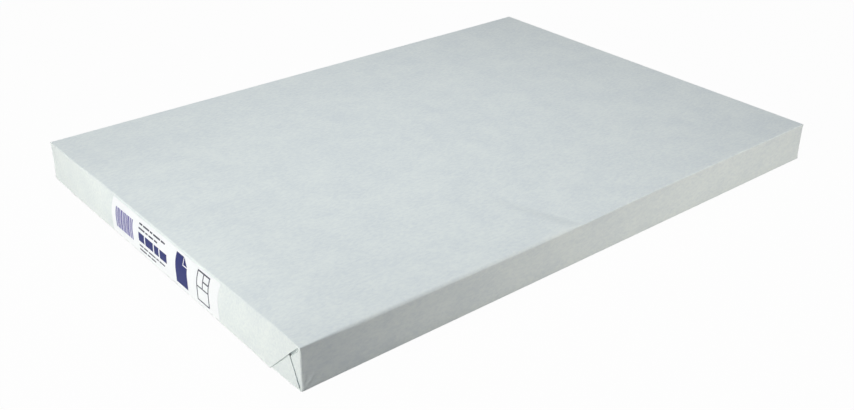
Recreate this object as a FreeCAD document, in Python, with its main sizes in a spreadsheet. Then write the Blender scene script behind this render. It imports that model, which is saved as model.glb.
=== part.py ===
import FreeCAD, Part
import Sketcher
import math
import os

# A ream of large sheets sealed in a paper wrapper, with a printed label over one short end.
# X runs along the long side, Y across it, Z up. The origin is under the middle of the ream.

SIZES = {
    # stack in its wrapper
    "ream_length": 452.0,
    "ream_width": 322.0,
    "ream_height": 28.7,
    "top_round": 1.4,
    "bottom_round": 1.0,
    # each short end leans in a little towards the top, with a soft edge above and below
    "end_lean": 0.3,
    "end_soft": 1.4,
    "end_edge": 27.6,
    "end_toe": 0.8,
    "cutter_room": 6.0,
    "cutter_head": 35.0,
    # swelling low in the middle of the labelled end
    "swell_out": 0.3,
    "swell_toe": 0.1,
    "swell_height": 14.0,
    "swell_fade_in": 0.2,
    "swell_fade": 22.5,
    "swell_root": 3.0,
    "swell_top": 25.0,
    "swell_far_toe": 1.1,
    "swell_far_low": 0.2,
    "swell_far_mid": 0.45,
    "swell_far_top": 0.6,
    # shoulder high in the middle of the labelled end, where the top sheets sag as well
    "middle_half": 82.0,
    "middle_fade": 126.0,
    "shoulder_start": 12.0,
    "shoulder_radius": 30.0,
    "shoulder_head": 26.3,
    "sag_front": 42.0,
    "sag_back": 58.0,
    "shoulder_far_out": 0.5,
    "shoulder_far_radius": 400.0,
    "shoulder_far_soft": 1.2,
    # end folds, measured from the upright corner edge and from the underside
    "flap_step": 0.25,
    "flap_foot": 30.2,
    "flap_head": 34.8,
    "fold_reach": 5.0,
    "fold_below": 1.2,
    "fold_out": 1.0,
    "tuck_step": 0.55,
    "tuck_side": 10.4,
    "tuck_height": 19.0,
    "tuck_foot": 0.25,
    "tuck_head": 33.9,
    "gap_depth": 1.3,
    "gap_head_side": 2.4,
    "gap_head_height": 27.2,
    "gap_foot_side": 28.7,
    "gap_foot_out": 27.1,
    "gap_foot_height": 0.35,
    "gap_join_side": 10.1,
    "gap_join_height": 17.8,
    "slit_foot_side": 1.45,
    "slit_foot_out": 0.9,
    "slit_foot_height": 1.5,
    "slit_head_out": 9.0,
    "slit_head_height": 18.6,
    # overlap of the wrapper along the underside
    "seam_across": 46.0,
    "seam_fade": 14.0,
    "seam_step": 0.15,
    # label over the end, its ink, and the plain marks printed on it
    "label_right": 76.5,
    "label_left": 62.5,
    "label_foot": 0.95,
    "label_head": 24.9,
    "label_thick": 0.2,
    "ink_thick": 0.08,
    "bars_in": 6.0,
    "bars_low": 6.2,
    "bars_high": 20.6,
    "bars_unit": 0.45,
    "text_in": 39.0,
    "text_unit": 1.0,
    "text_space": 1.3,
    "text_line": 1.0,
    "text_drop": 3.0,
    "text_above": 21.4,
    "text_below": 6.2,
    "heading_low": 9.9,
    "heading_high": 16.1,
    "heading_unit": 1.5,
    "page_in": 88.0,
    "page_wide": 14.2,
    "page_low": 3.5,
    "page_high": 23.6,
    "page_fold": 4.6,
    "format_in": 114.0,
    "format_wide": 14.2,
    "format_low": 3.5,
    "format_high": 23.6,
    "mark_line": 0.8,
}

doc = FreeCAD.newDocument("Ream")
sheet = doc.addObject("Spreadsheet::Sheet", "sizes")
for row, (alias, value) in enumerate(SIZES.items(), start=1):
    sheet.set(f"A{row}", alias)
    sheet.set(f"B{row}", str(value))
    sheet.setAlias(f"B{row}", alias)
doc.recompute()


def amount(term):
    """Value of a signed size name, such as "-swell_out"; an empty name is zero."""
    if not term:
        return 0.0
    if term.startswith("-"):
        return -SIZES[term[1:]]
    return SIZES[term]


def formula(term):
    """The same signed size name as an expression on the sheet."""
    if term.startswith("-"):
        return f"-sizes.{term[1:]}"
    return f"sizes.{term}"


def flip(term):
    """The size name with the other sign."""
    if not term:
        return term
    if term.startswith("-"):
        return term[1:]
    return f"-{term}"


def makeSketch(body, name, role):
    """An empty sketch on the body's own origin plane with this role."""
    sketch = body.newObject("Sketcher::SketchObject", name)
    for feature in body.Origin.OriginFeatures:
        if feature.Role == role:
            sketch.AttachmentSupport = [(feature, "")]
    sketch.MapMode = "FlatFace"
    sketch.Visibility = False
    return sketch


def bind(sketch, kind, parts, value, text):
    """A sketch dimension driven by an expression on the sheet."""
    index = sketch.addConstraint(Sketcher.Constraint(kind, *parts, value))
    sketch.setExpression(f"Constraints[{index}]", text)


def fixPoint(sketch, edge, end, across, up):
    """Ties one end of an edge to two size names, measured from the sketch's origin."""
    for kind, axis, term in (("DistanceX", -2, across), ("DistanceY", -1, up)):
        if term:
            bind(sketch, kind, (-1, 1, edge, end), amount(term), formula(term))
        else:
            sketch.addConstraint(Sketcher.Constraint("PointOnObject", edge, end, axis))


def drawOutline(sketch, corners):
    """A closed polygon whose corners are pairs of signed size names."""
    points = [FreeCAD.Vector(amount(across), amount(up), 0) for across, up in corners]
    count = len(points)
    for index, point in enumerate(points):
        sketch.addGeometry(Part.LineSegment(point, points[(index + 1) % count]), False)
    for index in range(count):
        sketch.addConstraint(Sketcher.Constraint("Coincident", index, 2, (index + 1) % count, 1))
    for index, (across, up) in enumerate(corners):
        fixPoint(sketch, index, 1, across, up)


def place(sketch, **offsets):
    """Moves a sketch from its origin plane by expressions, along its own axes."""
    for axis, text in offsets.items():
        sketch.setExpression(f".AttachmentOffset.Base.{axis}", text)


def checkCut(feature, before, what):
    """Stops the build when a cut has removed nothing."""
    doc.recompute()
    removed = before - feature.Shape.Volume
    print(f"{what}: removed {removed:.1f} mm3")
    if removed <= 0:
        raise RuntimeError(f"{what} cut nothing")
    return feature.Shape.Volume


# Wrapped ream: one sealed solid of sheets and wrapper.
ream = doc.addObject("PartDesign::Body", "wrapped_ream")
ream.Label = "wrapped_ream"

# Block: the section across the ream, with soft long edges, run along its length.
side = SIZES["ream_width"] / 2
tall = SIZES["ream_height"]
soft = SIZES["top_round"]
hard = SIZES["bottom_round"]
quarter = math.pi / 2
section = makeSketch(ream, "BlockSection", "YZ_Plane")
arcs = [
    (side - hard, hard, hard, 3 * quarter),
    (side - soft, tall - soft, soft, 0.0),
    (-side + soft, tall - soft, soft, quarter),
    (-side + hard, hard, hard, 2 * quarter),
]
for across, up, radius, start in arcs:
    circle = Part.Circle(FreeCAD.Vector(across, up, 0), FreeCAD.Vector(0, 0, 1), radius)
    section.addGeometry(Part.ArcOfCircle(circle, start, start + quarter), False)
for index in range(4):
    first = section.Geometry[index].EndPoint
    second = section.Geometry[(index + 1) % 4].StartPoint
    section.addGeometry(Part.LineSegment(first, second), False)
for index in range(4):
    section.addConstraint(Sketcher.Constraint("Tangent", index, 2, 4 + index, 1))
    section.addConstraint(Sketcher.Constraint("Tangent", 4 + index, 2, (index + 1) % 4, 1))
section.addConstraint(Sketcher.Constraint("Vertical", 4))
section.addConstraint(Sketcher.Constraint("Vertical", 6))
section.addConstraint(Sketcher.Constraint("Horizontal", 7))
section.addConstraint(Sketcher.Constraint("PointOnObject", 7, 1, -1))
section.addConstraint(Sketcher.Constraint("Equal", 0, 3))
section.addConstraint(Sketcher.Constraint("Equal", 1, 2))
section.addConstraint(Sketcher.Constraint("Symmetric", 5, 1, 5, 2, -2))
bind(section, "Radius", (0,), hard, "sizes.bottom_round")
bind(section, "Radius", (1,), soft, "sizes.top_round")
bind(section, "DistanceX", (-1, 1, 4, 1), side, "sizes.ream_width / 2")
bind(section, "DistanceY", (-1, 1, 5, 1), tall, "sizes.ream_height")

block = ream.newObject("PartDesign::Pad", "Block")
block.Profile = section
block.SideType = "Symmetric"
block.setExpression("Length", "sizes.ream_length")
doc.recompute()
print(f"block: {block.Shape.Volume:.0f} mm3")

# Stations across the labelled end, between which its swelling and shoulder fade out.
STATIONS = ("sizes.middle_fade", "sizes.middle_half", "-sizes.middle_half", "-sizes.middle_fade")


def endSketch(name, end, station=None):
    """An upright sketch along the ream, with its origin at the foot of one short end."""
    sketch = makeSketch(ream, name, "XZ_Plane")
    mark = "-" if end < 0 else ""
    place(sketch, x=f"{mark}sizes.ream_length / 2")
    if station:
        place(sketch, z=station)
    return sketch


def drawEnd(sketch, end, corners):
    """A polygon given inwards from the -X end, turned round for the other end."""
    if end > 0:
        corners = [(flip(across), up) for across, up in corners]
    drawOutline(sketch, corners)


def trimEnd(end):
    """The end leans in towards the top, with a soft edge above and a small one below."""
    word = "Left" if end < 0 else "Right"
    sketch = endSketch(f"{word}TrimOutline", end)
    drawEnd(sketch, end, [
        ("-cutter_room", "-cutter_room"),
        ("end_toe", "-cutter_room"),
        ("end_toe", ""),
        ("", "end_toe"),
        ("end_lean", "end_edge"),
        ("end_soft", "ream_height"),
        ("end_soft", "cutter_head"),
        ("-cutter_room", "cutter_head"),
    ])
    trim = ream.newObject("PartDesign::Pocket", f"{word}Trim")
    trim.Profile = sketch
    trim.SideType = "Symmetric"
    trim.setExpression("Length", "sizes.ream_width + 2 * sizes.cutter_room")
    return trim


def swellEnd(end):
    """The sheets press the wrapper out low in the middle of the end. At the two far
    stations the section lies inside the block, so the swelling fades into it."""
    sketches = []
    for number, station in enumerate(STATIONS):
        sketch = endSketch(f"SwellOutline{number}", end, station)
        if "fade" in station:
            rise = [
                ("swell_far_toe", ""),
                ("swell_far_low", "end_toe"),
                ("swell_far_mid", "swell_height"),
                ("swell_far_top", "swell_fade"),
            ]
        else:
            rise = [
                ("-swell_toe", ""),
                ("-swell_out", "end_toe"),
                ("-swell_out", "swell_height"),
                ("swell_fade_in", "swell_fade"),
            ]
        drawEnd(sketch, end, [("swell_root", "")] + rise + [("swell_root", "swell_top")])
        sketches.append(sketch)
    swell = ream.newObject("PartDesign::AdditiveLoft", "Swell")
    swell.Profile = sketches[0]
    swell.Sections = sketches[1:]
    swell.Ruled = True
    return swell


def drawShoulder(sketch, out, bend, head, rim):
    """The cutter's section: an arc that starts upright, then a slope up to the top face."""
    radius = SIZES[bend]
    low = SIZES["shoulder_start"]
    high = SIZES[head]
    turn = math.asin((high - low) / radius)
    centre = FreeCAD.Vector(amount(out) + radius, low, 0)
    circle = Part.Circle(centre, FreeCAD.Vector(0, 0, 1), radius)
    sketch.addGeometry(Part.ArcOfCircle(circle, math.pi - turn, math.pi), False)
    arc = sketch.Geometry[0]
    room = SIZES["cutter_room"]
    above = SIZES["cutter_head"]
    loop = [
        arc.StartPoint,
        FreeCAD.Vector(SIZES[rim], tall, 0),
        FreeCAD.Vector(SIZES[rim], above, 0),
        FreeCAD.Vector(-room, above, 0),
        FreeCAD.Vector(-room, low, 0),
        arc.EndPoint,
    ]
    for start, stop in zip(loop, loop[1:]):
        sketch.addGeometry(Part.LineSegment(start, stop), False)
    sketch.addConstraint(Sketcher.Constraint("Coincident", 0, 1, 1, 1))
    for index in range(1, 5):
        sketch.addConstraint(Sketcher.Constraint("Coincident", index, 2, index + 1, 1))
    sketch.addConstraint(Sketcher.Constraint("Coincident", 5, 2, 0, 2))
    sketch.addConstraint(Sketcher.Constraint("Horizontal", 0, 2, 0, 3))
    bind(sketch, "Radius", (0,), radius, f"sizes.{bend}")
    bind(sketch, "DistanceY", (-1, 1, 0, 1), high, f"sizes.{head}")
    spots = [
        (0, 2, out, "shoulder_start"),
        (1, 2, rim, "ream_height"),
        (2, 2, rim, "cutter_head"),
        (3, 2, "-cutter_room", "cutter_head"),
        (4, 2, "-cutter_room", "shoulder_start"),
    ]
    for edge, point, across, up in spots:
        fixPoint(sketch, edge, point, across, up)


def roundShoulder(end):
    """The end's middle is rounded above and the top face sags towards it; both fade out."""
    sketches = []
    for number, station in enumerate(STATIONS):
        sketch = endSketch(f"ShoulderOutline{number}", end, station)
        if "fade" in station:
            drawShoulder(sketch, "-shoulder_far_out", "shoulder_far_radius", "end_edge",
                         "shoulder_far_soft")
        else:
            sag = "sag_front" if station.startswith("sizes") else "sag_back"
            drawShoulder(sketch, "-swell_out", "shoulder_radius", "shoulder_head", sag)
        sketches.append(sketch)
    shoulder = ream.newObject("PartDesign::SubtractiveLoft", "Shoulder")
    shoulder.Profile = sketches[0]
    shoulder.Sections = sketches[1:]
    shoulder.Ruled = True
    return shoulder


# Folds at a corner of the end: the upper flap covers the end, and beside its slanted edge
# the lower flap shows, then the tucked side. Each lies one step deeper than the one before.
# A narrow gap runs along the edges of both flaps, where the paper stands off.
FOLDS = {
    "Flap": ("flap_step", [
        ("flap_foot", "-fold_below"),
        ("-fold_reach", "-fold_below"),
        ("-fold_reach", "flap_head"),
    ]),
    "Tuck": ("tuck_step", [
        ("tuck_side", "tuck_height"),
        ("-tuck_foot", "-fold_below"),
        ("-fold_reach", "-fold_below"),
        ("-fold_reach", "tuck_head"),
    ]),
    "Gap": ("gap_depth", [
        ("gap_head_side", "gap_head_height"),
        ("gap_foot_side", "gap_foot_height"),
        ("gap_foot_out", "gap_foot_height"),
        ("gap_join_side", "gap_join_height"),
        ("slit_foot_side", "slit_foot_height"),
        ("slit_foot_out", "slit_foot_height"),
        ("slit_head_out", "slit_head_height"),
    ]),
}


def cutFold(name, end, corner, corners, depth):
    """Cuts a polygon into the leaning end, measured from one upright corner edge."""
    sketch = makeSketch(ream, f"{name}Outline", "YZ_Plane")
    sketch.AttachmentOffset = FreeCAD.Placement(
        FreeCAD.Vector(0, 0, 0), FreeCAD.Rotation(FreeCAD.Vector(-end, 0, 0), 2.5))
    sketch.setExpression(".AttachmentOffset.Rotation.Angle",
                         "atan(sizes.end_lean / sizes.end_edge)")
    sideMark = "-" if corner < 0 else ""
    endMark = "-" if end < 0 else ""
    place(sketch, x=f"{sideMark}sizes.ream_width / 2",
          z=f"{endMark}(sizes.ream_length / 2 + sizes.fold_out)")
    if corner > 0:
        corners = [(flip(across), up) for across, up in corners]
    drawOutline(sketch, corners)
    pocket = ream.newObject("PartDesign::Pocket", name)
    pocket.Profile = sketch
    pocket.Reversed = end < 0
    pocket.setExpression("Length", f"sizes.{depth} + sizes.fold_out")
    return pocket


# Both short ends are folded in the same way; the left one, which bears the label, bulges.
ENDS = ((-1, "Left"), (1, "Right"))
volume = block.Shape.Volume
for end, word in ENDS:
    volume = checkCut(trimEnd(end), volume, f"{word} trim")
swell = swellEnd(-1)
doc.recompute()
print(f"swelling: added {swell.Shape.Volume - volume:.1f} mm3")
if swell.Shape.Volume <= volume:
    raise RuntimeError("the swelling added nothing")
volume = checkCut(roundShoulder(-1), swell.Shape.Volume, "shoulder")
for end, word in ENDS:
    for corner, where in ((-1, "Front"), (1, "Back")):
        for name, (depth, corners) in FOLDS.items():
            fold = cutFold(f"{word}{where}{name}", end, corner, corners, depth)
            volume = checkCut(fold, volume, f"{word} {where} {name}")

# Seam: the wrapper's edge lies along the underside, as a step that fades under the overlap.
seamSketch = makeSketch(ream, "SeamOutline", "YZ_Plane")
place(seamSketch, x="-sizes.seam_across")
drawOutline(seamSketch, [("", ""), ("", "seam_step"), ("-seam_fade", "")])
seam = ream.newObject("PartDesign::Pocket", "Seam")
seam.Profile = seamSketch
seam.SideType = "Symmetric"
seam.setExpression("Length", "sizes.ream_length + 2 * sizes.cutter_room")
ream.Tip = seam
volume = checkCut(seam, volume, "seam")


def makeSkin(name, inner, outer, rise=""):
    """A layer over the middle of the end: an arc above, flat below, between two depths."""
    reach = "sizes.label_right + sizes.label_left"
    rolls = []
    for word, depth in (("Outer", outer), ("Inner", inner)):
        roll = doc.addObject("Part::Cylinder", f"{name}{word}Roll")
        roll.Placement = FreeCAD.Placement(
            FreeCAD.Vector(0, 0, 0), FreeCAD.Rotation(FreeCAD.Vector(1, 0, 0), -90))
        roll.setExpression("Radius", f"sizes.shoulder_radius + {depth}")
        roll.setExpression("Height", reach)
        roll.setExpression(
            ".Placement.Base.x",
            "sizes.shoulder_radius - sizes.swell_out - sizes.ream_length / 2")
        roll.setExpression(".Placement.Base.y", "-sizes.label_right")
        roll.setExpression(".Placement.Base.z", "sizes.shoulder_start")
        rolls.append(roll)
    shell = doc.addObject("Part::Cut", f"{name}Shell")
    shell.Base = rolls[0]
    shell.Tool = rolls[1]
    window = doc.addObject("Part::Box", f"{name}Window")
    window.setExpression("Length", "2 * sizes.cutter_room")
    window.setExpression("Width", reach)
    window.setExpression("Height", "sizes.label_head - sizes.shoulder_start")
    window.setExpression(".Placement.Base.x", "-sizes.ream_length / 2 - sizes.cutter_room")
    window.setExpression(".Placement.Base.y", "-sizes.label_right")
    window.setExpression(".Placement.Base.z", "sizes.shoulder_start")
    upper = doc.addObject("Part::Common", f"{name}Upper")
    upper.Base = shell
    upper.Tool = window
    lower = doc.addObject("Part::Box", f"{name}Lower")
    lower.setExpression("Length", f"{outer} - {inner}")
    lower.setExpression("Width", reach)
    lower.setExpression("Height", "sizes.shoulder_start - sizes.label_foot")
    lower.setExpression(".Placement.Base.x",
                        f"-sizes.ream_length / 2 - sizes.swell_out - ({outer})")
    lower.setExpression(".Placement.Base.y", "-sizes.label_right")
    lower.setExpression(".Placement.Base.z", "sizes.label_foot")
    skin = doc.addObject("Part::Fuse", name)
    skin.Base = upper
    skin.Tool = lower
    return skin


# Label: one sheet glued over the end, from the shoulder down to the foot.
label = makeSkin("end_label", "0", "sizes.label_thick")
label.Label = "end_label"
ink = makeSkin("ink_layer", "sizes.label_thick", "sizes.label_thick + sizes.ink_thick")
doc.recompute()

# Print: plain marks pressed straight through the ink layer. Each mark is a flat figure
# in distances from the label's left edge and from the underside, run along X.
START = -SIZES["ream_length"] / 2 - SIZES["cutter_room"]
DEPTH = 2 * SIZES["cutter_room"]


def figure(points):
    """A prism over a polygon of (distance from the left edge, height)."""
    left = SIZES["label_left"]
    loop = [FreeCAD.Vector(START, left - across, up) for across, up in points]
    face = Part.Face(Part.makePolygon(loop + loop[:1]))
    return face.extrude(FreeCAD.Vector(DEPTH, 0, 0))


def bar(across, wide, low, high):
    """A plain rectangle."""
    return figure([(across, low), (across + wide, low), (across + wide, high), (across, high)])


def rowOfBars(across, low, high, widths, unit, space):
    """Rectangles side by side; their widths are given in whole units of length."""
    row = []
    for wide in widths:
        row.append(bar(across, wide * unit, low, high))
        across += wide * unit + space
    return row


# Blue: four heading blocks, and a page with a folded corner.
blue = rowOfBars(SIZES["text_in"], SIZES["heading_low"], SIZES["heading_high"], (5, 7, 4, 6),
                 SIZES["heading_unit"], SIZES["heading_unit"])
line = SIZES["mark_line"]
left = SIZES["page_in"]
right = left + SIZES["page_wide"]
low = SIZES["page_low"]
high = SIZES["page_high"]
turned = SIZES["page_fold"]
blue.append(figure([
    (left, low),
    (right, low),
    (right, high - turned - line),
    (right - turned - line, high - turned - line),
    (right - turned - line, high),
    (left, high),
]))
blue.append(figure([
    (right - turned, high - turned),
    (right, high - turned),
    (right - turned, high),
]))

# Grey: rows of short bars like small print seen from far, two above the heading and two
# below, and a sheet outline halved again and again.
grey = []
drop = SIZES["text_drop"]
rows = (
    (SIZES["text_above"], (4, 8, 3, 9, 5)),
    (SIZES["text_above"] - drop, (8, 3, 6, 4)),
    (SIZES["text_below"], (5, 5, 9, 3, 7)),
    (SIZES["text_below"] - drop, (9, 4, 6)),
)
for low, widths in rows:
    grey += rowOfBars(SIZES["text_in"], low, low + SIZES["text_line"], widths,
                      SIZES["text_unit"], SIZES["text_space"])
left = SIZES["format_in"]
wide = SIZES["format_wide"]
low = SIZES["format_low"]
high = SIZES["format_high"]
centre = left + wide / 2
half = (low + high) / 2
quarter = (half + high) / 2
windows = [
    bar(left + line, wide - 2 * line, low + line, half - line / 2),
    bar(left + line, wide / 2 - 1.5 * line, half + line / 2, high - line),
    bar(centre + line / 2, wide / 2 - 1.5 * line, half + line / 2, quarter - line / 2),
    bar(centre + line / 2, wide / 2 - 1.5 * line, quarter + line / 2, high - line),
]
outline = bar(left, wide, low, high)
for window in windows:
    outline = outline.cut(window)
grey.append(outline)

# Violet: a block of upright bars of uneven width.
violet = []
unit = SIZES["bars_unit"]
across = SIZES["bars_in"]
widths = (2, 1, 3, 1, 2, 4, 1, 2, 1, 3, 2, 1, 4, 1, 2, 3)
spaces = (1, 2, 1, 1, 2, 1, 2, 1, 1, 2, 1, 1, 2, 1, 2, 1)
for wide, space in zip(widths, spaces):
    violet.append(bar(across, wide * unit, SIZES["bars_low"], SIZES["bars_high"]))
    across += (wide + space) * unit

prints = []
for name, marks in (("print_blue", blue), ("print_grey", grey), ("print_violet", violet)):
    solids = []
    for mark in marks:
        solids += ink.Shape.common(mark).Solids
    mark = doc.addObject("Part::Feature", name)
    mark.Shape = Part.makeCompound(solids)
    mark.Label = name
    mark.Placement = FreeCAD.Placement()
    prints.append(mark)

doc.recompute()
for item in doc.Objects:
    if "Invalid" in item.State or "Error" in item.State:
        raise RuntimeError(f"{item.Name} failed: {item.State}")
for item in [ream, label] + prints:
    if item.Shape.isNull() or not item.Shape.isValid():
        raise RuntimeError(f"{item.Label} has no valid shape")

os.makedirs("parts", exist_ok=True)
for item in [ream, label] + prints:
    item.Shape.exportStep(f"parts/{item.Label}.step")
    box = item.Shape.BoundBox
    print(f"{item.Label}: {len(item.Shape.Solids)} solids, {item.Shape.Volume:.1f} mm3, "
          f"x {box.XMin:.2f} {box.XMax:.2f}, y {box.YMin:.2f} {box.YMax:.2f}, "
          f"z {box.ZMin:.2f} {box.ZMax:.2f}")
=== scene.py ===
import math

import bpy
import numpy as np
from mathutils import Matrix, Vector


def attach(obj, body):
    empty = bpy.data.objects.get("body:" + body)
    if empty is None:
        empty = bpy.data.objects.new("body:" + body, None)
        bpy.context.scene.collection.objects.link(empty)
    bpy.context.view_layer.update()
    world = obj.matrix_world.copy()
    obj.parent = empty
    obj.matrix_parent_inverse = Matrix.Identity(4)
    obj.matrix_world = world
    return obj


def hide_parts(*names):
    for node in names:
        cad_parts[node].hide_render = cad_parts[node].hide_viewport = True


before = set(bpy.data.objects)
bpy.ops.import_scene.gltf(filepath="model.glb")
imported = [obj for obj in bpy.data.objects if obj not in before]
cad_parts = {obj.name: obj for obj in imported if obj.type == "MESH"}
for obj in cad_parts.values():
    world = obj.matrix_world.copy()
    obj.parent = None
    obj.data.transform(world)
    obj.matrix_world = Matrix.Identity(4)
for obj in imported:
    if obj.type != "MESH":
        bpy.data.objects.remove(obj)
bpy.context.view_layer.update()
print("frame loaded:", ", ".join(sorted(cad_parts)))

mm = 0.001

# the ream in its wrapper; all lengths are in millimetres, and the labelled end is at -X
ream = {
    "long": 452.0,  # along X
    "wide": 322.0,  # along Y
    "tall": 28.7,
    "crispEdge": 0.8,  # radius of the long top edges
    "softEdge": 2.6,  # and of the front one between the labelled end and the kink
    "soft": (-218.0, -188.0),  # places between which the front one turns soft
    "lowEdge": 0.9,
    "change": (0.3, 0.7),  # shares of the height between which lower turns into upper radius
    "endEdge": 0.48,  # how far the round of an end's edges reaches along the ream
    "uprightEdge": 0.7,  # what the upright edges are rounder by
    "uprightNear": (2.5, 1.0),  # distances from them at which that sets in and is full
    "uprightFoot": (0.0, 4.0),  # heights between which it sets in
    "uprightHead": (3.0, 1.0),  # and distances below the top between which it ends again
}

longHalf = ream["long"] / 2
wideHalf = ream["wide"] / 2
tall = ream["tall"]


def rising(value, low, high):
    # 0 below low, 1 above high, and between them 3 t squared less 2 t cubed, where t is
    # the share of the way from low to high
    share = np.clip((value - low) / (high - low), 0.0, 1.0)
    return share * share * (3.0 - 2.0 * share)


def falling(value, low, high):
    # the same curve the other way round: 1 below low and 0 above high
    return 1.0 - rising(value, low, high)


def bell(value, middle, reach):
    # e to the minus square of the distance from the middle over the reach
    return np.exp(-((value - middle) / reach) ** 2)


def places(low, high, knots):
    # places along a side, each one step after the last; the step is read between knots of
    # (place, step), and all are stretched a little to end exactly at high
    where, step = zip(*knots)
    spots = [low]
    while spots[-1] < high:
        spots.append(spots[-1] + float(np.interp(spots[-1], where, step)))
    spots = np.array(spots)
    return low + (spots - low) * (high - low) / (spots[-1] - low)


def gridFaces(rows, columns, start=0):
    # quads of a grid whose points are numbered row by row
    corner = start + np.arange(rows - 1)[:, None] * columns + np.arange(columns - 1)[None, :]
    corner = corner.ravel()
    return np.stack([corner, corner + columns, corner + columns + 1, corner + 1], axis=1)


def makePiece(name, points, faces):
    # a mesh from whole arrays, in metres, with doubles merged and faces turned outwards
    mesh = bpy.data.meshes.new(name)
    mesh.from_pydata((points * mm).tolist(), [], faces.tolist())
    piece = bpy.data.objects.new(name, mesh)
    bpy.context.scene.collection.objects.link(piece)
    bpy.context.view_layer.objects.active = piece
    bpy.ops.object.select_all(action="DESELECT")
    piece.select_set(True)
    bpy.ops.object.mode_set(mode="EDIT")
    bpy.ops.mesh.select_all(action="SELECT")
    bpy.ops.mesh.remove_doubles(threshold=2e-6)
    bpy.ops.mesh.normals_make_consistent(inside=False)
    bpy.ops.object.mode_set(mode="OBJECT")
    mesh.polygons.foreach_set("use_smooth", np.ones(len(mesh.polygons), dtype=bool))
    mesh.update()
    print(f"{name}: {len(mesh.vertices)} points, {len(mesh.polygons)} faces")
    return piece


# the short ends: both lean in, and the labelled one swells out below a round shoulder
ends = {
    "lean": 0.3,  # how far an end leans in at the height leanHead
    "leanHead": 27.6,
    "bend": 34.0,  # how far into the ream the form of an end is felt
    "swell": 0.3,  # how far the middle of the labelled end stands out below
    "shoulder": 30.0,  # radius of its upper curve
    "shoulderFrom": 12.0,
    "shoulderHead": 26.3,  # height of the top where it has sagged most
    "middleFront": 121.0,  # the even middle of that end, then where it has faded out
    "fadeFront": 157.0,
    "middleBack": 70.0,
    "fadeBack": 114.0,
    "sagStart": 3.0,  # the top sags from here inwards
    "sagFront": 46.0,
    "sagBack": 62.0,
    "sagPowerFront": 2.3,  # the higher, the sooner the sag levels out
    "sagPowerBack": 1.8,
    "flare": 0.3,  # the foot of that end stands out a little beside the label,
    "flareHead": 10.0,  # up to this height,
    "flareFrom": 64.0,  # from the label's borders outwards
    "flareFull": 88.0,
    "flareCorner": 12.0,  # and less so in the last stretch before the corners
}


def middleShare(y):
    # 1 in the middle of the labelled end, falling to 0 towards its corners, sooner at the back
    front = falling(-y, ends["middleFront"], ends["fadeFront"])
    return front * falling(y, ends["middleBack"], ends["fadeBack"])


def endDepth(end, y, z):
    # distance of an end's surface inwards from its foot: a plane that leans in a little.
    # The middle of the labelled end stands out below and turns into an arc above, whose
    # depth is its radius less the root of the radius squared less the rise squared
    flat = ends["lean"] * z / ends["leanHead"]
    rise = np.clip(z - ends["shoulderFrom"], 0.0, None)
    radius = ends["shoulder"]
    centre = radius - np.sqrt(radius * radius - rise * rise) - ends["swell"]
    away = np.abs(y)
    foot = ends["flare"] * falling(z, 0.0, ends["flareHead"])
    foot = foot * rising(away, ends["flareFrom"], ends["flareFull"])
    foot = foot * falling(away, wideHalf - ends["flareCorner"], wideHalf)
    labelled = flat + (centre - flat) * middleShare(y) - foot
    return np.where(np.asarray(end) < 0, labelled, flat)


def sagged(x, y, z):
    # the height of a point once the top sheets have sagged towards the labelled end: the
    # fall is 1 less the share of the way inwards, to a power, and the upper heights share it.
    # The share goes a tenth below 0, so that the fall goes on to the foot of the end
    front = y < 0.0
    reach = np.where(front, ends["sagFront"], ends["sagBack"])
    inwards = np.clip((x + longHalf - ends["sagStart"]) / reach, -0.1, 1.0)
    power = np.where(front, ends["sagPowerFront"], ends["sagPowerBack"])
    fall = (tall - ends["shoulderHead"]) * middleShare(y) * (1.0 - inwards) ** power
    low = ends["shoulderFrom"]
    return z - fall * np.clip((z - low) / (tall - low), 0.0, 1.0)


# the top between its edges: it sinks a little, more at the front, and a step runs in
# from the kink in the front edge
top = {
    "skin": 4.0,  # thickness that moves with the top
    "edge": 30.0,  # width beside an end that stays level
    "border": 40.0,  # and beside a long side that stays nearly level
    "borderShare": 0.25,  # what the sides keep of the sinking
    "sink": 0.22,
    "uneven": 0.2,
    "frontDip": 0.9,  # how far it sinks more towards the front edge, and where along it
    "frontDipAt": -40.0,
    "frontDipReach": 95.0,
    "frontDipFrom": 90.0,  # distance from the ream's middle line at which this sets in
    "kinkAt": -18.0,
    "kinkDip": 1.0,  # depth of the step
    "kinkSkew": 0.34,  # how far the step runs aside for each millimetre inwards
    "kinkHalf": 6.0,  # half its width
    "kinkFade": 40.0,  # behind it the top comes back up over about this length
    "kinkFull": 14.0,  # it is whole up to this distance from the front edge
    "kinkEnd": 80.0,  # and gone from this one on
    "crisp": (-6.0, 2.0),  # past the kink the front edge turns crisp between these distances
}


def waves(x, y):
    # slow unevenness of the wrapped stack: three products of long sine waves that cross.
    # A divisor is the length in which its wave turns by one radian
    first = np.sin(x / 41.0 + 0.7) * np.sin(y / 53.0 + 1.9)
    second = np.sin((x + 0.6 * y) / 27.0 + 0.4) * np.cos((y - 0.3 * x) / 35.0)
    third = np.sin((x - 1.4 * y) / 16.0 + 2.2) * np.sin((x + y) / 23.0)
    return 0.5 * first + 0.3 * second + 0.15 * third


def sinkTop(x, y):
    # how far the top sinks: an uneven hollow, a long bell beside the front edge, and a step
    # that falls at the kink and comes back slowly behind it
    border = falling(np.abs(y), wideHalf - top["border"], wideHalf)
    border = top["borderShare"] + (1.0 - top["borderShare"]) * border
    sink = (top["sink"] + top["uneven"] * waves(x, y)) * border
    dip = bell(x, top["frontDipAt"], top["frontDipReach"])
    sink = sink + top["frontDip"] * dip * rising(-y, top["frontDipFrom"], wideHalf)
    inwards = y + wideHalf
    past = x - top["kinkAt"] + top["kinkSkew"] * inwards
    half = top["kinkHalf"]
    step = rising(past, -half, half) * np.exp(-np.clip(past - half, 0.0, None) / top["kinkFade"])
    step = step * falling(inwards, top["kinkFull"], top["kinkEnd"])
    return np.clip(sink + top["kinkDip"] * step, 0.0, None)


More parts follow.
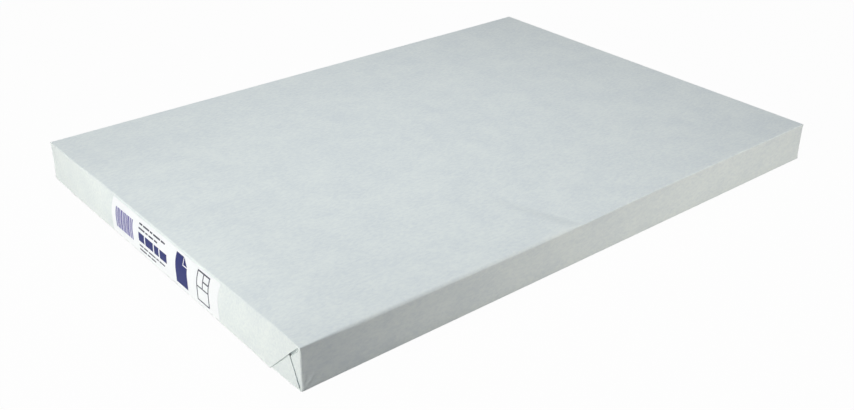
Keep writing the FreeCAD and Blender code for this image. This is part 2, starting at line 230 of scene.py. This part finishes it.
# the long sides: a little hollow in the middle of their height
sides = {
    "skin": 2.0,  # thickness that moves with a side
    "hollow": 0.25,
    "longWave": 0.22,  # by how much two waves along a side make it more or less hollow
    "shortWave": 0.12,
    "cornerHollow": 0.2,  # and how hollow it is close to the ends
}

# creases pressed into the wrapper at the near lower corner: start, stop, width and height
creases = [
    ((-225.0, 0.8), (-214.0, 11.5), 1.1, 0.22),
    ((-224.5, 0.5), (-206.5, 3.6), 1.3, 0.18),
    ((-224.8, 2.0), (-222.0, 14.0), 0.9, 0.12),
]


def ridge(x, z, crease):
    # a low rounded ridge along a line from start to stop: a bell across it, which begins
    # within about 2 mm and dies away over the last 60 percent of its length
    start, stop, width, height = crease
    span = (stop[0] - start[0], stop[1] - start[1])
    length = math.hypot(*span)
    along = ((x - start[0]) * span[0] + (z - start[1]) * span[1]) / length
    across = ((x - start[0]) * span[1] - (z - start[1]) * span[0]) / length
    fade = rising(along, -1.2, 1.8) * falling(along, 0.4 * length, length)
    return height * fade * bell(across, 0.0, width)


def hollowSide(x, y, z, inner):
    # how far a long side is drawn in: half a sine over its height, times an amount with two
    # sine waves along the side, less the ridges of the creases at the front. A divisor is
    # the length in which its wave turns by one radian
    waist = np.sin(np.pi * np.clip(z / tall, 0.0, 1.0))
    wave = sides["longWave"] * np.sin(x / 37.0 + 1.1)
    wave = wave + sides["shortWave"] * np.sin(x / 15.0 + z / 6.0)
    wave = np.clip(sides["hollow"] + wave, 0.0, None)
    hollow = waist * (wave * inner + sides["cornerHollow"] * (1.0 - inner))
    for crease in creases:
        hollow = hollow - ridge(x, z, crease) * (y < 0.0)
    return hollow


# the folded flaps of an end, measured from the corner edge and from the underside
folds = {
    "paper": 0.12,
    "topFoot": 28.7,  # distance of the upper flap's slanted edge from the corner, at its foot
    "topSlope": 1.0226,  # height over width of that edge
    "topSpan": (28.3, 0.3),  # heights of that flap's head and foot
    "topLeast": 0.6,  # its least distance from the corner edge
    "topLift": 1.3,  # how far the paper stands off at the front edge of the upper flap
    "backLift": 0.3,  # and at its back edge
    "liftReach": 5.0,  # how far in from the edge this is felt
    "liftHead": (22.6, 27.6),  # heights between which it goes to nothing
    "liftAt": 20.0,  # height at which it is greatest, and the reach of the bell round it
    "liftSpan": 7.0,
    "footShare": 0.25,  # the flap's foot stands off as well, a little further in
    "footAt": 8.0,
    "footReach": 9.0,
    "footHead": (0.0, 2.5),
    "topTuck": 0.4,  # how far the upper flap's head is tucked in, and between which heights
    "topTuckHead": (27.2, 28.2),
    "lowFoot": 0.85,  # the same for the lower flap, at the height lowFootAt
    "lowFootAt": 1.0,
    "lowSlope": 1.897,  # it is steeper
    "lowSpan": (0.35, 23.0),
    "lowLeast": 0.45,
    "lowLift": 0.34,
    "lowReach": 3.0,
    "lowLiftFoot": (-1.0, 3.0),
    "lowMore": 0.6,  # how much more it stands off near its foot
    "lowMoreHead": (3.0, 11.0),
    "lowTuck": 0.28,
    "skin": 3.0,  # thickness of the wrapper that moves behind the flaps
    "recess": 0.5,  # depth of the tucked side behind the upper flap
    "recessFoot": (0.2, 1.4),  # heights between which it sets in
    "recessHead": (24.7, 27.2),  # and ends again
    "recessSide": (0.0, 2.5),  # distances from the corner edge between which it sets in
    "pleat": 1.6,  # depth of the pleat along the upper flap's edge
    "pleatAt": 0.6,  # its distance past that edge, and its half width
    "pleatHalf": 1.0,
    "pleatFoot": (17.5, 19.5),
    "pleatHead": (25.8, 27.8),
    "knotAt": 19.6,  # it is deeper where the edges of the two flaps cross
    "knotReach": 1.2,
    "knotShare": 0.7,
}


def topInset(z):
    # distance of the upper flap's slanted edge from the corner edge, falling with height
    return folds["topFoot"] - (z - folds["topSpan"][1]) / folds["topSlope"]


def lowInset(z):
    # distance of the lower flap's slanted edge from the corner edge, growing with height
    return folds["lowFoot"] + (z - folds["lowFootAt"]) / folds["lowSlope"]


def behindFlaps(x, y, z):
    # how much deeper the wrapper lies behind the flaps: an even recess, and a pleat that is
    # a bell across the upper flap's slanted edge, deepest where the two flaps cross
    inset = wideHalf - np.abs(y)
    recess = rising(z, *folds["recessFoot"]) * falling(z, *folds["recessHead"])
    recess = folds["recess"] * recess * rising(inset, *folds["recessSide"])
    pleat = bell(topInset(z) - inset, folds["pleatAt"], folds["pleatHalf"])
    pleat = pleat * rising(z, *folds["pleatFoot"]) * falling(z, *folds["pleatHead"])
    knot = 1.0 + folds["knotShare"] * bell(z, folds["knotAt"], folds["knotReach"])
    outer = rising(np.abs(x), longHalf - folds["skin"], longHalf)
    return (recess + folds["pleat"] * pleat * knot) * outer


def roundEdges(x, y, z):
    # rounds the edges of the box: a point further out than the core, which is the box less
    # its radii, is drawn in until its distance from the core is one radius
    soft = rising(x, *ream["soft"]) * falling(x - top["kinkAt"], *top["crisp"])
    edge = ream["crispEdge"] + (ream["softEdge"] - ream["crispEdge"]) * soft * (y < 0.0)
    upper = rising(z / tall, *ream["change"])
    begin, full = ream["uprightNear"]
    upright = rising(np.abs(y), wideHalf - begin, wideHalf - full)
    upright = upright * rising(np.abs(x), longHalf - begin, longHalf - full)
    begin, full = ream["uprightHead"]
    upright = upright * rising(z, *ream["uprightFoot"]) * falling(z, tall - begin, tall - full)
    rounder = ream["uprightEdge"] * upright
    radius = ream["lowEdge"] + (edge - ream["lowEdge"]) * upper + rounder
    reach = ream["endEdge"] + rounder
    coreX = np.clip(x, -longHalf + reach, longHalf - reach)
    coreY = np.clip(y, -wideHalf + radius, wideHalf - radius)
    coreZ = np.clip(z, radius, tall - radius)
    awayX = (x - coreX) / reach
    awayY = (y - coreY) / radius
    awayZ = (z - coreZ) / radius
    size = np.sqrt(awayX ** 2 + awayY ** 2 + awayZ ** 2)
    size = np.where(size < 1e-9, 1.0, size)
    bentX = coreX + awayX / size * reach
    bentY = coreY + awayY / size * radius
    bentZ = coreZ + awayZ / size * radius
    return bentX, bentY, bentZ


def bendWrapper(x, y, z):
    # bends points of a plain box into the wrapped ream: the edges are rounded and the top
    # sags, then each face is moved by its own function, which fades out behind it
    bentX, bentY, bentZ = roundEdges(x, y, z)
    bentZ = sagged(bentX, bentY, bentZ)
    end = np.sign(x)
    near = rising(np.abs(x), longHalf - ends["bend"], longHalf)
    depth = endDepth(end, bentY, np.clip(bentZ, 0.0, tall))
    bentX = bentX - end * (depth * near + behindFlaps(x, y, z))
    inner = falling(np.abs(x), longHalf - top["edge"], longHalf)
    bentZ = bentZ - rising(z, tall - top["skin"], tall) * inner * sinkTop(x, y)
    wall = rising(np.abs(y), wideHalf - sides["skin"], wideHalf)
    bentY = bentY - np.sign(y) * wall * hollowSide(x, y, z, inner)
    return bentX, bentY, bentZ


def boxPoints(xs, ys, zs):
    # the six sides of a box as grids, so that neighbouring sides share their edge points
    grids = [
        (xs, ys, lambda a, b: (a, b, np.zeros_like(a))),
        (xs, ys, lambda a, b: (a, b, np.full_like(a, tall))),
        (xs, zs, lambda a, b: (a, np.full_like(a, -wideHalf), b)),
        (xs, zs, lambda a, b: (a, np.full_like(a, wideHalf), b)),
        (ys, zs, lambda a, b: (np.full_like(a, -longHalf), a, b)),
        (ys, zs, lambda a, b: (np.full_like(a, longHalf), a, b)),
    ]
    points, faces, count = [], [], 0
    for first, second, lay in grids:
        a, b = np.meshgrid(first, second, indexing="ij")
        points.append(np.stack([part.ravel() for part in lay(a, b)], axis=1))
        faces.append(gridFaces(len(first), len(second), count))
        count += a.size
    return np.concatenate(points), np.concatenate(faces)


def makeWrapper():
    # the wrapper is the bent box; its grid is fine at edges, folds, creases and the kink.
    # The knots are (place, step)
    xs = places(-longHalf, longHalf, [
        (-longHalf, 0.16), (2.0 - longHalf, 0.45), (20.0 - longHalf, 0.8),
        (36.0 - longHalf, 4.0), (-60.0, 4.0), (-45.0, 1.6), (0.0, 1.6), (15.0, 4.2),
        (longHalf - 36.0, 4.2), (longHalf - 2.0, 0.5), (longHalf, 0.2)])
    ys = places(-wideHalf, wideHalf, [
        (-wideHalf, 0.2), (3.0 - wideHalf, 0.4), (11.0 - wideHalf, 0.9), (-105.0, 2.2),
        (-90.0, 3.4), (wideHalf - 16.0, 3.4), (wideHalf - 3.0, 0.5), (wideHalf, 0.2)])
    zs = places(0.0, tall, [
        (0.0, 0.2), (1.0, 0.25), (3.0, 0.6), (15.0, 0.7), (18.0, 0.35), (26.5, 0.35),
        (tall, 0.2)])
    points, faces = boxPoints(xs, ys, zs)
    bent = bendWrapper(points[:, 0], points[:, 1], points[:, 2])
    piece = makePiece("wrapper", np.stack(bent, axis=1), faces)
    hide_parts("wrapped_ream")
    return piece


def thinSheet(name, outer, inner):
    # a closed sheet between two grids of the same size, joined along all four borders
    rows, columns = outer.shape[:2]
    count = rows * columns
    points = np.concatenate([outer.reshape(-1, 3), inner.reshape(-1, 3)])
    index = np.arange(count).reshape(rows, columns)
    rim = np.concatenate([index[0, :-1], index[:-1, -1], index[-1, :0:-1], index[:0:-1, 0]])
    ahead = np.roll(rim, -1)
    rimFaces = np.stack([rim, ahead, ahead + count, rim + count], axis=1)
    faces = np.concatenate([gridFaces(rows, columns), gridFaces(rows, columns, count), rimFaces])
    return makePiece(name, points, faces)


def flapGrid(heights, insetAt, least, rim, rimPoints, middlePoints):
    # rows of points from one slanted edge of a flap to the other, closer together beside
    # both, in the share of the row that rim gives; the last array is each point's distance
    # from the nearer edge
    beside = np.linspace(0.0, rim, rimPoints)
    middle = np.linspace(rim, 1.0 - rim, middlePoints)[1:-1]
    across = np.concatenate([beside, middle, 1.0 - beside[::-1]])
    z, share = np.meshgrid(heights, across, indexing="ij")
    edge = wideHalf - np.clip(insetAt(z), least, None)
    y = -edge + 2.0 * edge * share
    return y, z, np.minimum(y + edge, edge - y)


def flapSheet(name, end, y, z, tuck, lift):
    # a flap lies on its end, tucked in by a small depth and standing off by its lift, and
    # its inner face is one thickness of paper behind the outer one
    if end < 0:
        z = sagged(-longHalf + ends["sagStart"], y, z)
    out = longHalf - endDepth(end, y, z) - tuck + lift
    outer = np.stack([end * out, y, z], axis=2)
    inner = np.stack([end * (out - folds["paper"]), y, z], axis=2)
    return thinSheet(name, outer, inner)


def topFlap(name, end):
    # the upper flap: its lift is greatest at the slanted edges, at about 20 mm of height,
    # and dies away inwards as e to the minus (distance over reach) to the power 1.5; its
    # foot stands off by a bell beside the edges, and its head is tucked in
    heights = np.linspace(*folds["topSpan"], 60)
    y, z, gap = flapGrid(
        heights, topInset, folds["topLeast"], rim=0.1, rimPoints=40, middlePoints=80)
    most = np.where(y < 0.0, folds["topLift"], folds["backLift"])
    lift = 0.5 + 0.5 * bell(z, folds["liftAt"], folds["liftSpan"])
    lift = lift * falling(z, *folds["liftHead"]) * np.exp(-(gap / folds["liftReach"]) ** 1.5)
    foot = falling(z, *folds["footHead"]) * bell(gap, folds["footAt"], folds["footReach"])
    lift = most * (lift + folds["footShare"] * foot)
    tuck = folds["topTuck"] * rising(z, *folds["topTuckHead"])
    return flapSheet(name, end, y, z, tuck, lift)


def lowFlap(name, end):
    # the lower flap, folded up first: its edges are steeper and show beside the upper flap,
    # and its lift, which dies away inwards in the same way, is greater near its foot
    heights = np.linspace(*folds["lowSpan"], 50)
    y, z, gap = flapGrid(
        heights, lowInset, folds["lowLeast"], rim=0.08, rimPoints=30, middlePoints=60)
    lift = 1.0 + folds["lowMore"] * falling(z, *folds["lowMoreHead"])
    lift = folds["lowLift"] * lift * rising(z, *folds["lowLiftFoot"])
    lift = lift * np.exp(-(gap / folds["lowReach"]) ** 1.5)
    return flapSheet(name, end, y, z, folds["lowTuck"], lift)


wrapper = makeWrapper()
flaps = []
for end, word in ((-1.0, "left"), (1.0, "right")):
    flaps.append(topFlap(f"{word}_top_flap", end))
    flaps.append(lowFlap(f"{word}_low_flap", end))
for piece in [wrapper] + flaps:
    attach(piece, "root")
print("paper pieces made")


def linear(code):
    # sRGB hex to linear light, with full cover: value over 12.92 in the dark, else value
    # and 0.055 over 1.055, to the power 2.4
    parts = [int(code[place:place + 2], 16) / 255.0 for place in (0, 2, 4)]
    parts = [part / 12.92 if part <= 0.04045 else ((part + 0.055) / 1.055) ** 2.4 for part in parts]
    return (*parts, 1.0)


def addNode(tree, kind, settings=None, links=None):
    # adds a node; settings fill properties or sockets, links join its sockets to others
    node = tree.nodes.new(kind)
    for key, value in (settings or {}).items():
        if hasattr(node, key) and key not in node.inputs:
            setattr(node, key, value)
        else:
            node.inputs[key].default_value = value
    for key, source in (links or {}).items():
        tree.links.new(source, node.inputs[key])
    return node


def newMaterial(name):
    # an empty material with only its output node
    material = bpy.data.materials.new(name)
    material.use_nodes = True
    tree = material.node_tree
    tree.nodes.clear()
    output = addNode(tree, "ShaderNodeOutputMaterial")
    return material, tree, output


def setRamp(ramp, darkAt, dark, lightAt, light):
    # two stops, from the darker colour to the lighter one
    first, second = ramp.color_ramp.elements
    first.position = darkAt
    first.color = linear(dark)
    second.position = lightAt
    second.color = linear(light)


# the wrapper's paper: two tones, mixed by the noise of its fibres and of its clouds
paper = {
    "light": "E7EEED",
    "dark": "DAE2E5",
    "darkAt": 0.36,
    "lightAt": 0.62,
    "fibre": 1.7,  # size of a clump of fibres, mm
    "stretch": 0.55,  # the clumps are longer along the ream, as the paper ran
    "cloud": 19.0,  # size of the cloudy formation of the sheet, mm
    "cloudShare": 0.34,
    "rough": 0.62,
    "fibreHeight": 0.05,  # mm
}


def wrappingPaper():
    # bleached kraft wrapping paper, machine finished: matt, a little cloudy, with fine fibres
    material, tree, output = newMaterial("bleached kraft wrapping paper")
    place = addNode(tree, "ShaderNodeTexCoord")
    stretch = addNode(tree, "ShaderNodeMapping", {"Scale": (paper["stretch"], 1.0, 1.0)},
                      {"Vector": place.outputs["Object"]})
    fibre = addNode(tree, "ShaderNodeTexNoise",
                    {"Scale": 1.0 / (paper["fibre"] * mm), "Detail": 4.0, "Roughness": 0.65},
                    {"Vector": stretch.outputs["Vector"]})
    cloud = addNode(tree, "ShaderNodeTexNoise",
                    {"Scale": 1.0 / (paper["cloud"] * mm), "Detail": 3.0, "Roughness": 0.5},
                    {"Vector": place.outputs["Object"]})
    both = addNode(tree, "ShaderNodeMix", {"data_type": "FLOAT", "Factor": paper["cloudShare"]})
    tree.links.new(fibre.outputs["Fac"], both.inputs[2])
    tree.links.new(cloud.outputs["Fac"], both.inputs[3])
    tone = addNode(tree, "ShaderNodeValToRGB", None, {"Fac": both.outputs[0]})
    setRamp(tone, paper["darkAt"], paper["dark"], paper["lightAt"], paper["light"])
    bump = addNode(tree, "ShaderNodeBump",
                   {"Strength": 0.12, "Distance": paper["fibreHeight"] * mm},
                   {"Height": fibre.outputs["Fac"]})
    shader = addNode(tree, "ShaderNodeBsdfPrincipled",
                     {"Roughness": paper["rough"], "IOR": 1.45, "Specular IOR Level": 0.35},
                     {"Base Color": tone.outputs["Color"], "Normal": bump.outputs["Normal"]})
    tree.links.new(shader.outputs["BSDF"], output.inputs["Surface"])
    return material


# label paper and its inks: the coating has a faint shine, and the ink is more matt
printed = {
    "end_label": {
        "name": "coated label paper", "light": "F3F6FA", "dark": "EEF1F5",
        "rough": 0.45, "shine": 0.35},
    "print_blue": {
        "name": "offset ink blue", "light": "343A74", "dark": "2C3269",
        "rough": 0.55, "shine": 0.15},
    "print_grey": {
        "name": "offset ink grey", "light": "45475A", "dark": "3C3E50",
        "rough": 0.55, "shine": 0.15},
    "print_violet": {
        "name": "offset ink violet", "light": "6F6CA8", "dark": "6461A0",
        "rough": 0.55, "shine": 0.15},
}
coating = {"grain": 0.7, "height": 0.03}  # size and height of the coating's grain, mm


def coatedPaper(look):
    # coated label paper, or the ink on it: smooth, closed and evenly coloured, with only a
    # faint fine grain
    material, tree, output = newMaterial(look["name"])
    place = addNode(tree, "ShaderNodeTexCoord")
    grain = addNode(tree, "ShaderNodeTexNoise",
                    {"Scale": 1.0 / (coating["grain"] * mm), "Detail": 3.0, "Roughness": 0.6},
                    {"Vector": place.outputs["Object"]})
    tone = addNode(tree, "ShaderNodeValToRGB", None, {"Fac": grain.outputs["Fac"]})
    setRamp(tone, 0.3, look["dark"], 0.7, look["light"])
    bump = addNode(tree, "ShaderNodeBump",
                   {"Strength": 0.05, "Distance": coating["height"] * mm},
                   {"Height": grain.outputs["Fac"]})
    shader = addNode(tree, "ShaderNodeBsdfPrincipled",
                     {"Roughness": look["rough"], "IOR": 1.5, "Specular IOR Level": look["shine"]},
                     {"Base Color": tone.outputs["Color"], "Normal": bump.outputs["Normal"]})
    tree.links.new(shader.outputs["BSDF"], output.inputs["Surface"])
    return material


def cover(piece, material):
    # the piece wears this one material
    if piece.data.materials:
        for index in range(len(piece.data.materials)):
            piece.material_slots[index].material = material
    else:
        piece.data.materials.append(material)


wrapPaper = wrappingPaper()
for piece in [wrapper] + flaps:
    cover(piece, wrapPaper)
for name, look in printed.items():
    cover(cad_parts[name], coatedPaper(look))
print("materials made")

# camera: its angle comes from the vanishing lines of the ream's edges; millimetres and degrees
shot = {
    "azimuth": -39.65,
    "elevation": 28.33,
    "roll": 0.38,
    "distance": 806.6,
    "across": -5.9,
    "up": -27.6,
    "lens": 45.57,
    "sensor": 36.0,
}


def makeCamera():
    # stands at a distance along the line of sight, moved across and up in the picture's own
    # directions; roll turns those two about the line of sight
    turn, rise, roll = (math.radians(shot[key]) for key in ("azimuth", "elevation", "roll"))
    flat = math.cos(rise)
    back = Vector((math.sin(turn) * flat, -math.cos(turn) * flat, math.sin(rise)))
    level = (-back).cross(Vector((0, 0, 1))).normalized()
    above = level.cross(-back).normalized()
    right = level * math.cos(roll) + above * math.sin(roll)
    up = above * math.cos(roll) - level * math.sin(roll)
    data = bpy.data.cameras.new("camera")
    data.lens = shot["lens"]
    data.sensor_width = shot["sensor"]
    data.clip_start = 0.01
    data.clip_end = 50.0
    camera = bpy.data.objects.new("camera", data)
    bpy.context.scene.collection.objects.link(camera)
    turned = Matrix((right, up, back)).transposed().to_4x4()
    turned.translation = (
        back * shot["distance"] + right * shot["across"] + up * shot["up"]) * mm
    camera.matrix_world = turned
    bpy.context.scene.camera = camera


makeCamera()

# studio, in metres and degrees: a soft key lamp at the labelled end, a lamp overhead that
# lights the top, a small low one that grazes the front side, and a plain pale floor
studio = {
    "floor": "C3C1BE",
    "floorHalf": 3.0,
    "floorDrop": 0.0002,
    "floorWhite": 0.975,  # share of plain white in what the camera sees of the floor
    "room": 0.301,  # strength of the even light of the room
    "roomTint": "F3F4FA",
    "keyPlace": (-1.855, -0.218, 0.5),
    "keyAim": (-0.269, 0.0, 0.0),
    "keySize": 0.8,
    "keyPower": 1.4,
    "keySpread": 33.61,
    "keyTint": (1.015, 1.0, 0.94),
    "overPlace": (0.328, 0.122, 1.055),
    "overAim": (-0.323, -0.1, 0.0),
    "overSize": 0.5,
    "overPower": 1.124,
    "overSpread": 77.95,
    "overTint": (0.98, 1.01, 1.02),
    "sidePlace": (-0.04, -0.702, 0.072),
    "sideAim": (1.568, -0.161, 0.0),
    "sideSize": 0.12,
    "sidePower": 2.15,
    "sideSpread": 180.0,
    "sideTint": (1.0, 0.96, 0.88),
}


def softLamp(name, key):
    # a round area lamp from the settings whose names start with key
    data = bpy.data.lights.new(name, "AREA")
    data.shape = "DISK"
    data.size = studio[f"{key}Size"]
    data.energy = studio[f"{key}Power"]
    data.color = studio[f"{key}Tint"]
    data.spread = math.radians(studio[f"{key}Spread"])
    lamp = bpy.data.objects.new(name, data)
    bpy.context.scene.collection.objects.link(lamp)
    place = Vector(studio[f"{key}Place"])
    way = Vector(studio[f"{key}Aim"]) - place
    lamp.location = place
    lamp.rotation_euler = way.to_track_quat("-Z", "Y").to_euler()
    lamp.visible_camera = False


softLamp("key lamp", "key")
softLamp("lamp overhead", "over")
softLamp("side lamp", "side")


def seenDirectly(tree):
    # 1 where the camera, a reflection or a clear thing looks at the background
    path = addNode(tree, "ShaderNodeLightPath")
    first = addNode(tree, "ShaderNodeMath", {"operation": "MAXIMUM"})
    tree.links.new(path.outputs["Is Camera Ray"], first.inputs[0])
    tree.links.new(path.outputs["Is Glossy Ray"], first.inputs[1])
    second = addNode(tree, "ShaderNodeMath", {"operation": "MAXIMUM"})
    tree.links.new(first.outputs[0], second.inputs[0])
    tree.links.new(path.outputs["Is Transmission Ray"], second.inputs[1])
    return second.outputs[0]


def makeWorld():
    # an even room that lights the ream, and plain white where it is seen directly
    world = bpy.data.worlds.new("studio")
    bpy.context.scene.world = world
    world.use_nodes = True
    tree = world.node_tree
    tree.nodes.clear()
    room = addNode(tree, "ShaderNodeBackground",
                   {"Color": linear(studio["roomTint"]), "Strength": studio["room"]})
    white = addNode(tree, "ShaderNodeBackground",
                    {"Color": (1.0, 1.0, 1.0, 1.0), "Strength": 1.0})
    mix = addNode(tree, "ShaderNodeMixShader")
    tree.links.new(seenDirectly(tree), mix.inputs[0])
    tree.links.new(room.outputs[0], mix.inputs[1])
    tree.links.new(white.outputs[0], mix.inputs[2])
    output = addNode(tree, "ShaderNodeOutputWorld")
    tree.links.new(mix.outputs[0], output.inputs["Surface"])


def makeFloor():
    # a plain pale sheet, nearly white to the camera, that still takes the ream's shadow
    half = studio["floorHalf"]
    mesh = bpy.data.meshes.new("floor")
    mesh.from_pydata([(-half, -half, 0), (half, -half, 0), (half, half, 0), (-half, half, 0)],
                     [], [(0, 1, 2, 3)])
    floor = bpy.data.objects.new("floor", mesh)
    bpy.context.scene.collection.objects.link(floor)
    floor.location.z = -studio["floorDrop"]
    material, tree, output = newMaterial("pale studio paper")
    matt = addNode(tree, "ShaderNodeBsdfDiffuse", {"Color": linear(studio["floor"])})
    white = addNode(tree, "ShaderNodeEmission",
                    {"Color": (1.0, 1.0, 1.0, 1.0), "Strength": 1.0})
    share = addNode(tree, "ShaderNodeMath", {"operation": "MULTIPLY"})
    tree.links.new(seenDirectly(tree), share.inputs[0])
    share.inputs[1].default_value = studio["floorWhite"]
    mix = addNode(tree, "ShaderNodeMixShader")
    tree.links.new(share.outputs[0], mix.inputs[0])
    tree.links.new(matt.outputs[0], mix.inputs[1])
    tree.links.new(white.outputs[0], mix.inputs[2])
    tree.links.new(mix.outputs[0], output.inputs["Surface"])
    cover(floor, material)


makeWorld()
makeFloor()
bpy.context.scene.view_settings.view_transform = "Standard"
print("studio made")
